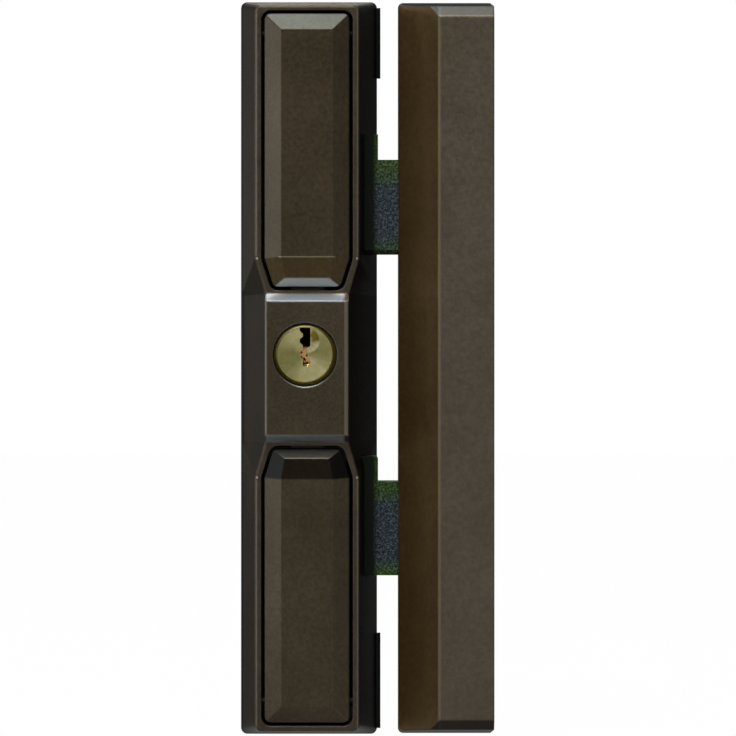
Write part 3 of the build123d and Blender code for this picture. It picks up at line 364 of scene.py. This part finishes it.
def makeBrownPaint(look):
    material, tree = newMaterial(look["name"])
    place = addNode(tree, "ShaderNodeTexCoord").outputs["Object"]
    spot = addNode(tree, "ShaderNodeSeparateXYZ", {}, {"Vector": place}).outputs
    cloud = addNode(tree, "ShaderNodeTexNoise", {}, {
        "Vector": place, "Scale": perMetre(look["cloudMm"]), "Detail": 4.0,
    })
    grain = addNode(tree, "ShaderNodeTexNoise", {}, {
        "Vector": place, "Scale": perMetre(look["grainMm"]), "Detail": 3.0, "Roughness": 0.7,
    })
    # the rounded normal leaves the flat one along edges, which are painted pale: partly worn, thin
    # paint and partly a painted highlight
    rounded = addNode(tree, "ShaderNodeBevel", {"samples": 6}, {"Radius": look["edgeMm"] / 1000})
    flat = addNode(tree, "ShaderNodeNewGeometry").outputs["Normal"]
    turn = addNode(tree, "ShaderNodeVectorMath", dotProduct, {0: rounded, 1: flat})
    leans = []
    for normal in (rounded, flat):
        own = addNode(tree, "ShaderNodeVectorTransform", {
            "vector_type": "NORMAL", "convert_from": "WORLD", "convert_to": "OBJECT",
        }, {"Vector": normal})
        leaning = addNode(tree, "ShaderNodeVectorMath", multiplyAdd, {
            0: own, 1: oneHalf, 2: oneHalf,
        })
        leans.append(addNode(tree, "ShaderNodeSeparateXYZ", {}, {"Vector": leaning}).outputs)
    lean, flatLean = leans
    across, depth = [
        addNode(tree, "ShaderNodeMapRange", {}, {
            "Value": spot[axis], "From Min": cadBox[0][axis], "From Max": cadBox[1][axis],
        })
        for axis in (0, 1)
    ]
    sources = {
        "cloudTones": cloud, "grainTones": grain, "grainRoughness": grain,
        "edgeByTurn": turn.outputs["Value"],
        "paintedHighlightByLean": lean["Z"], "paintedLightByLean": lean["Z"], "dustByLean": lean["Z"],
        "paintedShadeBySide": lean["X"], "grooveShadeByFront": flatLean["Y"],
        "paintedShadeByAcross": across, "paintedShadeByDepth": depth,
    }
    # one ramp for each list of stops
    ramps = {
        name: addNode(tree, "ShaderNodeValToRGB", {}, {"Fac": source}, look[name])
        for name, source in sources.items()
    }
    # steep facets and chamfers by the middle get a painted highlight, and walls in the grooves get
    # painted shade
    shares = []
    for axis, reachMm, byDirection in (
        ("Z", look["paintedHighlightReachMm"], ramps["paintedHighlightByLean"]),
        ("X", look["grooveShadeReachMm"], ramps["grooveShadeByFront"]),
    ):
        away = addNode(tree, "ShaderNodeMath", absolute, {0: spot[axis]})
        near = addNode(tree, "ShaderNodeMath", {"operation": "LESS_THAN"}, {
            0: away, 1: reachMm / 1000,
        })
        shares.append(addNode(tree, "ShaderNodeMath", multiply, {0: byDirection, 1: near}))
    paintedHighlightShare, grooveShadeShare = shares
    for outsideMm, insideMm in look["paintedHighlightAcrossMm"]:
        within = addNode(tree, "ShaderNodeMapRange", {}, {
            "Value": spot["X"], "From Min": outsideMm / 1000, "From Max": insideMm / 1000,
        })
        paintedHighlightShare = addNode(tree, "ShaderNodeMath", multiply, {0: paintedHighlightShare, 1: within})
    layers = [
        ("MULTIPLY", 1.0, ramps["grainTones"]),
        ("MIX", ramps["edgeByTurn"], look["edgeWearAndHighlightTone"]),
        ("MIX", paintedHighlightShare, look["paintedHighlightTone"]),
    ]
    # each line is a painted highlight
    for line in look["paintedHighlightLines"]:
        share = line["share"]
        for axis, middleMm, halfMm in zip("XZ", line["middleMm"], line["halfMm"]):
            offset = addNode(tree, "ShaderNodeMath", {"operation": "SUBTRACT"}, {
                0: spot[axis], 1: middleMm / 1000,
            })
            away = addNode(tree, "ShaderNodeMath", absolute, {0: offset})
            within = addNode(tree, "ShaderNodeMapRange", {}, {
                "Value": away,
                "From Min": (halfMm + look["lineFadeMm"]) / 1000,
                "From Max": (halfMm - look["lineFadeMm"]) / 1000,
            })
            share = addNode(tree, "ShaderNodeMath", multiply, {0: within, 1: share})
        layers.append(("MIX", share, line["tone"]))
    # painted shade and highlight by lean, side and place across, and painted shade in the grooves
    # and near the mounting face
    layers += [
        ("MULTIPLY", 1.0, ramps["paintedLightByLean"]),
        ("MULTIPLY", 1.0, ramps["paintedShadeBySide"]),
        ("MULTIPLY", 1.0, ramps["paintedShadeByAcross"]),
        ("MIX", grooveShadeShare, look["grooveShadeTone"]),
        ("MULTIPLY", 1.0, ramps["paintedShadeByDepth"]),  # painted shade on the case's foot by the mounting face
    ]
    # a colour mix takes its colours at inputs 6 and 7, and gives the mix at output 2
    colour = ramps["cloudTones"]
    for blend, share, tone in layers:
        layer = addNode(tree, "ShaderNodeMix", {"data_type": "RGBA", "blend_type": blend}, {
            "Factor": share, 6: colour, 7: tone,
        })
        colour = layer.outputs[2]
    # dust, and the groove walls in painted shade, are dull and hide the lacquer
    dustAndGrooveShade = addNode(tree, "ShaderNodeMath", larger, {0: grooveShadeShare, 1: ramps["dustByLean"]})
    dull = addNode(tree, "ShaderNodeMath", larger, {0: ramps["grainRoughness"], 1: dustAndGrooveShade})
    coat = addNode(tree, "ShaderNodeMapRange", {}, {
        "Value": dustAndGrooveShade, "To Min": look["lacquer"], "To Max": 0.0,
    })
    bump = addNode(tree, "ShaderNodeBump", {}, {
        "Height": grain,
        "Normal": rounded,
        "Strength": look["bumpStrength"],
        "Distance": look["bumpMm"] / 1000,
    })
    shader = addNode(tree, "ShaderNodeBsdfPrincipled", {}, {
        "Base Color": colour,
        "Metallic": look["flake"],
        "Roughness": dull,
        "Coat Weight": coat,
        "Coat Roughness": look["lacquerRoughness"],
        "Normal": bump,
    })
    addNode(tree, "ShaderNodeOutputMaterial", {}, {"Surface": shader})
    return material


dress(makeBrownPaint(casePaint), "case_shell")
dress(makeBrownPaint(keyPaint), "upper_key", "lower_key")
dress(makeBrownPaint(strikePaint), "strike_cover")
print("painted castings dressed")


# turned brass: fine rings left by the lathe; the pale and deep fans of light they throw are
# painted into the colour, as is shade at the rim and in the hollows
turnedBrass = {
    "name": "turned brass, lightly tarnished",
    "middlesMm": {"nose": (-0.4, 3.0), "dish": (0.05, 6.3), "rim": (-0.6, 3.2)},
    "ringMm": 0.32,  # real feed marks are about 0.05 mm, drawn coarser so that they show
    "ringTones": [(0.3, 0.80), (0.7, 1.0)],
    "ringRoughness": [(0.3, 0.40), (0.7, 0.24)],
    "bumpMm": 0.01,
    "bumpStrength": 0.5,
    "smearMm": 1.8,
    "smearTones": [(0.34, "#eee297"), (0.60, "#fff6bb")],
    "fanTurn": 0.30,  # radians from upright to the brightest fan
    # painted highlight fans
    "paintedFanTones": [(0.0, "#c6c9b4"), (0.45, "#c9ccba"), (0.85, "#ffffff")],
    "streaksRound": 5.0,  # noise scale round a circle of radius 1
    "streakShare": 0.5,
    "sideShadeTones": [(0.15, "#eeefe8"), (0.75, "#ffffff")],  # painted shade, slightly darker to the left; left to right
    # the dish is shaded towards its upper right, and its lower right edge catches the light
    "dishSpanMm": 6.0,  # the two lists by reach run from its middle to here
    "dishTones": [(0.12, "#ffffff"), (0.22, "#a8995a"), (0.42, "#a8995a"), (0.50, "#ffffff")],
    "dishWay": (0.94, 0, 0.34),
    "dishByWay": [(0.55, 0.0), (0.85, 1.0)],
    "glintTone": "#fff4c4",
    "glintByReach": [(0.20, 0.0), (0.36, 0.8), (0.46, 1.0), (0.50, 0.0)],
    "glintWay": (0.64, 0, -0.77),
    "glintByWay": [(0.60, 0.0), (0.90, 1.0)],
    "rimShadeMm": (6.18, 6.42),  # from bright brass to the rim in painted shade, widest at the lower right
    "rimShadeTone": "#75683a",
    "rimShadeMetal": 0.4,  # the painted shade at the rim also takes away part of the metal
    "hollowStartMm": 100.0,  # surfaces behind this depth are in painted shade; none is here
    "hollowFadeMm": 0.2,
    "hollowShadeTone": "#0a0805",
    "wardMm": 1.1,
    # painted shade and painted highlight on the wards
    "wardShadeAndHighlightTones": [(0.46, "#0a0805"), (0.52, "#ffca86")],
    "wardShadeTopMm": (5.0, 4.4),  # painted shade above, wards painted bright below
    "wardPolish": 0.35,  # keys keep the wards bright
}


def makeBrass(look):
    material, tree = newMaterial(look["name"])
    place = addNode(tree, "ShaderNodeTexCoord").outputs["Object"]
    spot = addNode(tree, "ShaderNodeSeparateXYZ", {}, {"Vector": place}).outputs
    fromMiddle, reach, way = {}, {}, {}
    for name, (acrossMm, upMm) in look["middlesMm"].items():
        fromMiddle[name] = addNode(tree, "ShaderNodeVectorMath", multiplyAdd, {
            0: place, 1: (1, 0, 1), 2: (-acrossMm / 1000, 0, -upMm / 1000),
        })
        length = addNode(tree, "ShaderNodeVectorMath", {"operation": "LENGTH"}, {
            0: fromMiddle[name],
        })
        reach[name] = length.outputs["Value"]
    for name in ("nose", "dish"):
        way[name] = addNode(tree, "ShaderNodeVectorMath", {"operation": "NORMALIZE"}, {
            0: fromMiddle[name],
        })
    # rings follow the radius, streaks follow the angle, and smears lie as they come
    ringPlace = addNode(tree, "ShaderNodeCombineXYZ", {}, {"X": reach["nose"]})
    rings = addNode(tree, "ShaderNodeTexNoise", {}, {
        "Vector": ringPlace, "Scale": perMetre(look["ringMm"]), "Detail": 2.0, "Roughness": 0.6,
    })
    streaks = addNode(tree, "ShaderNodeTexNoise", {}, {
        "Vector": way["nose"], "Scale": look["streaksRound"], "Detail": 4.0, "Roughness": 0.65,
    })
    smear = addNode(tree, "ShaderNodeTexNoise", {}, {
        "Vector": place, "Scale": perMetre(look["smearMm"]), "Detail": 5.0, "Roughness": 0.65,
    })
    wards = addNode(tree, "ShaderNodeTexNoise", {}, {
        "Vector": place, "Scale": perMetre(look["wardMm"]), "Detail": 1.0,
    })
    along, dishLie, glintLie = [
        addNode(tree, "ShaderNodeVectorMath", dotProduct, {
            0: way[name], 1: towards,
        }).outputs["Value"]
        for name, towards in (
            ("nose", (-math.sin(look["fanTurn"]), 0, math.cos(look["fanTurn"]))),
            ("dish", look["dishWay"]),
            ("dish", look["glintWay"]),
        )
    ]
    # painted highlight fans lie above and below the axis, and the streaks break them up
    fan = addNode(tree, "ShaderNodeMath", absolute, {0: along})
    streaked = addNode(tree, "ShaderNodeMath", multiplyAdd, {
        0: streaks, 1: look["streakShare"], 2: -look["streakShare"] / 2,
    })
    fans = addNode(tree, "ShaderNodeMath", {"operation": "ADD"}, {0: fan, 1: streaked})
    noseWay = addNode(tree, "ShaderNodeSeparateXYZ", {}, {"Vector": way["nose"]}).outputs
    sideways = addNode(tree, "ShaderNodeMath", multiplyAdd, {0: noseWay["X"], 1: 0.5, 2: 0.5})
    # soft steps from 0 to 1 between two places
    start = look["hollowStartMm"]
    inDish, rim, below, deep = [
        addNode(tree, "ShaderNodeMapRange", {}, {
            "Value": source, "From Min": fromMm / 1000, "From Max": toMm / 1000,
        })
        for source, (fromMm, toMm) in (
            (reach["dish"], (0.0, look["dishSpanMm"])),
            (reach["rim"], look["rimShadeMm"]),
            (spot["Z"], look["wardShadeTopMm"]),
            (spot["Y"], (start, start + look["hollowFadeMm"])),
        )
    ]
    smeared, fanHighlight, ringed, ringDull, sided, dished, dishShare, glintEdge, glintSide, warded = [
        addNode(tree, "ShaderNodeValToRGB", {}, {"Fac": source}, stops)
        for source, stops in (
            (smear, look["smearTones"]),
            (fans, look["paintedFanTones"]),
            (rings, look["ringTones"]),
            (rings, look["ringRoughness"]),
            (sideways, look["sideShadeTones"]),
            (inDish, look["dishTones"]),
            (dishLie, look["dishByWay"]),
            (inDish, look["glintByReach"]),
            (glintLie, look["glintByWay"]),
            (wards, look["wardShadeAndHighlightTones"]),
        )
    ]
    glint = addNode(tree, "ShaderNodeMath", multiply, {0: glintEdge, 1: glintSide})
    hollow = addNode(tree, "ShaderNodeMix", {"data_type": "RGBA"}, {
        "Factor": below, 6: look["hollowShadeTone"], 7: warded,
    })
    colour = smeared
    for blend, share, tone in (
        ("MULTIPLY", 1.0, fanHighlight),
        ("MULTIPLY", 1.0, ringed),
        ("MULTIPLY", 1.0, sided),
        ("MULTIPLY", dishShare, dished),
        # painted shade at the rim
        ("MULTIPLY", rim, look["rimShadeTone"]),
        ("MIX", glint, look["glintTone"]),
        # painted shade in the keyway, with the wards painted bright
        ("MIX", deep, hollow.outputs[2]),
    ):
        layer = addNode(tree, "ShaderNodeMix", {"data_type": "RGBA", "blend_type": blend}, {
            "Factor": share, 6: colour, 7: tone,
        })
        colour = layer.outputs[2]
    polish = addNode(tree, "ShaderNodeMapRange", {}, {
        "Value": deep, "To Min": 1.0, "To Max": look["wardPolish"],
    })
    dull = addNode(tree, "ShaderNodeMath", multiply, {0: ringDull, 1: polish})
    metal = addNode(tree, "ShaderNodeMapRange", {}, {
        "Value": rim, "To Min": 1.0, "To Max": look["rimShadeMetal"],
    })
    bump = addNode(tree, "ShaderNodeBump", {}, {
        "Height": rings, "Strength": look["bumpStrength"], "Distance": look["bumpMm"] / 1000,
    })
    shader = addNode(tree, "ShaderNodeBsdfPrincipled", {}, {
        "Base Color": colour, "Metallic": metal, "Roughness": dull, "Normal": bump,
    })
    addNode(tree, "ShaderNodeOutputMaterial", {}, {"Surface": shader})
    return material


# painted shade in the plug's keyway and inside the body
shadedKeywayPlug = dict(turnedBrass, name="turned brass, keyway in painted shade", hollowStartMm=-32.85)
shadedInsideBody = dict(
    turnedBrass,
    name="turned brass, painted shade inside",
    hollowStartMm=-31.7,
    wardShadeAndHighlightTones=[(0.46, "#0a0805"), (0.52, "#0a0805")],
)
dress(makeBrass(turnedBrass), "pin_cover", "key_pins", "driver_pins")
dress(makeBrass(shadedInsideBody), "cylinder_body")
dress(makeBrass(shadedKeywayPlug), "plug")
print("cylinder dressed")


# passivated zinc on steel: a blue and green film, salt-and-pepper scuffs, painted shade at the root
boltSteel = {
    "name": "zinc-plated steel, blue passivated",
    "filmTones": [
        (0.0, "#6f9138"), (0.08, "#6c8560"), (0.16, "#69757f"), (0.58, "#69757f"),
        (0.68, "#6c8858"), (1.0, "#6f9138"),
    ],  # from the bolt's lower edge to its upper
    "driftMm": 6.0,
    "driftShare": 0.12,  # how far the film's bands wander, in parts of the bolt's height
    "speckMm": 0.55,  # real scuffs are about 0.2 mm, drawn coarser so that they show
    "speckTones": [(0.40, "#0c1014"), (0.48, "#5f686c"), (0.54, "#a9b1b6"), (0.60, "#ffffff")],
    "speckShare": 0.9,
    "speckRoughness": [(0.3, 0.62), (0.7, 0.34)],
    "bumpMm": 0.02,
    "bumpStrength": 0.4,
    "rootShadeEndMm": (16.1, 14.9),  # from lit steel to the root in painted shade, inside the case
    "rootShadeTone": "#1b2019",
    "metallic": 0.9,
}


def makeBoltSteel(look):
    material, tree = newMaterial(look["name"])
    coordinates = addNode(tree, "ShaderNodeTexCoord").outputs
    place = coordinates["Object"]
    spot = addNode(tree, "ShaderNodeSeparateXYZ", {}, {"Vector": place}).outputs
    parts = addNode(tree, "ShaderNodeSeparateXYZ", {}, {"Vector": coordinates["Generated"]}).outputs
    drift = addNode(tree, "ShaderNodeTexNoise", {}, {
        "Vector": place, "Scale": perMetre(look["driftMm"]), "Detail": 2.0,
    })
    speck = addNode(tree, "ShaderNodeTexNoise", {}, {
        "Vector": place, "Scale": perMetre(look["speckMm"]), "Detail": 5.0, "Roughness": 0.8,
    })
    wander = addNode(tree, "ShaderNodeMapRange", {}, {
        "Value": drift, "To Min": -look["driftShare"], "To Max": look["driftShare"],
    })
    band = addNode(tree, "ShaderNodeMath", {"operation": "ADD"}, {0: parts["Z"], 1: wander})
    film, pepper, dull = [
        addNode(tree, "ShaderNodeValToRGB", {}, {"Fac": source}, look[name])
        for source, name in ((band, "filmTones"), (speck, "speckTones"), (speck, "speckRoughness"))
    ]
    root = addNode(tree, "ShaderNodeMapRange", {}, {
        "Value": spot["X"],
        "From Min": look["rootShadeEndMm"][0] / 1000,
        "From Max": look["rootShadeEndMm"][1] / 1000,
    })
    colour = film
    for blend, share, tone in (
        ("MULTIPLY", look["speckShare"], pepper),
        ("MIX", root, look["rootShadeTone"]),
    ):
        layer = addNode(tree, "ShaderNodeMix", {"data_type": "RGBA", "blend_type": blend}, {
            "Factor": share, 6: colour, 7: tone,
        })
        colour = layer.outputs[2]
    bump = addNode(tree, "ShaderNodeBump", {}, {
        "Height": speck, "Strength": look["bumpStrength"], "Distance": look["bumpMm"] / 1000,
    })
    shader = addNode(tree, "ShaderNodeBsdfPrincipled", {}, {
        "Base Color": colour, "Metallic": look["metallic"], "Roughness": dull, "Normal": bump,
    })
    addNode(tree, "ShaderNodeOutputMaterial", {}, {"Surface": shader})
    return material


dress(makeBoltSteel(boltSteel), "upper_bolt", "lower_bolt")
print("bolts dressed")


# bright zinc plate on rolled sheet: faint rolling lines, spangle, and painted shade on the faces
# that face the front, towards the inside of the lock
sheetSteel = {
    "name": "zinc-plated sheet steel, rolled",
    "lineMm": 0.4,
    "lineAlong": "Z",  # the way it was rolled or drawn
    "lineStretch": 30,  # how much longer a line is than wide
    "lineTones": [(0.3, 0.72), (0.7, 1.0)],
    "lineShare": 0.7,
    "lineRoughness": [(0.3, 0.44), (0.7, 0.34)],
    "bumpMm": 0.01,
    "bumpStrength": 0.25,
    "spangleMm": 5.0,
    "spangleTones": [(0.3, "#a9aba8"), (0.7, "#c4c6c2")],
    "insideShadeTone": "#131210",
    "insideShadeShare": 0.9,
    "insideShadeByFront": (-0.5, -0.8),  # the normal's Y, from no painted shade to all
    "metallic": 0.75,  # plated zinc crystals scatter part of the light
}
# cold-headed screws and pins are smoother and paler, with finer lines along them
headedSteel = dict(
    sheetSteel,
    name="zinc-plated steel, cold headed",
    lineMm=0.3,
    lineAlong="Y",
    lineRoughness=[(0.3, 0.38), (0.7, 0.28)],
    spangleTones=[(0.3, "#b0b0ac"), (0.7, "#cbcbc7")],
    insideShadeShare=0.0,
)
# oil from the tempering leaves spring wire dark brown, with fine drawing lines
springSteel = dict(
    sheetSteel,
    name="spring steel wire, oil tempered",
    lineMm=0.2,
    lineAlong="X",
    lineRoughness=[(0.3, 0.55), (0.7, 0.45)],
    spangleTones=[(0.3, "#26231f"), (0.7, "#34302b")],
    insideShadeShare=0.0,
)
# black phosphate on pins is dull and nearly black
darkSteel = dict(
    sheetSteel,
    name="carbon steel, black phosphated",
    lineMm=0.3,
    lineAlong="X",
    lineRoughness=[(0.3, 0.6), (0.7, 0.5)],
    spangleTones=[(0.3, "#1b1a18"), (0.7, "#262421")],
    insideShadeShare=0.0,
)


def makeLinedSteel(look):
    material, tree = newMaterial(look["name"])
    coordinates = addNode(tree, "ShaderNodeTexCoord").outputs
    place = coordinates["Object"]
    stretch = [perMetre(look["lineMm"])] * 3
    stretch["XYZ".index(look["lineAlong"])] = perMetre(look["lineMm"] * look["lineStretch"])
    linePlace = addNode(tree, "ShaderNodeMapping", {}, {"Vector": place, "Scale": stretch})
    lines = addNode(tree, "ShaderNodeTexNoise", {}, {
        "Vector": linePlace, "Scale": 1.0, "Detail": 3.0,
    })
    spangle = addNode(tree, "ShaderNodeTexNoise", {}, {
        "Vector": place, "Scale": perMetre(look["spangleMm"]), "Detail": 3.0,
    })
    shade, lined, dull = [
        addNode(tree, "ShaderNodeValToRGB", {}, {"Fac": source}, look[name])
        for source, name in (
            (spangle, "spangleTones"), (lines, "lineTones"), (lines, "lineRoughness"),
        )
    ]
    facing = addNode(tree, "ShaderNodeSeparateXYZ", {}, {"Vector": coordinates["Normal"]}).outputs
    insideShade = addNode(tree, "ShaderNodeMapRange", {}, {
        "Value": facing["Y"],
        "From Min": look["insideShadeByFront"][0],
        "From Max": look["insideShadeByFront"][1],
        "To Max": look["insideShadeShare"],
    })
    colour = shade
    for blend, share, tone in (
        ("MULTIPLY", look["lineShare"], lined),
        ("MIX", insideShade, look["insideShadeTone"]),
    ):
        layer = addNode(tree, "ShaderNodeMix", {"data_type": "RGBA", "blend_type": blend}, {
            "Factor": share, 6: colour, 7: tone,
        })
        colour = layer.outputs[2]
    bump = addNode(tree, "ShaderNodeBump", {}, {
        "Height": lines, "Strength": look["bumpStrength"], "Distance": look["bumpMm"] / 1000,
    })
    shader = addNode(tree, "ShaderNodeBsdfPrincipled", {}, {
        "Base Color": colour, "Metallic": look["metallic"], "Roughness": dull, "Normal": bump,
    })
    addNode(tree, "ShaderNodeOutputMaterial", {}, {"Surface": shader})
    return material


sheetPieces = ("base_plate", "strike_keep", "cylinder_bridge", "drive_bar", "cam")
dress(makeLinedSteel(sheetSteel), "upper_bolt_guide", "lower_bolt_guide", *sheetPieces)
dress(makeLinedSteel(headedSteel), "case_screws", "strike_screws", "bolt_pins", "cam_clip")
dress(makeLinedSteel(darkSteel), "hinge_pins")
dress(makeLinedSteel(springSteel), "key_springs", "bar_spring", "pin_springs")
print("steel pieces dressed")

print("finished")
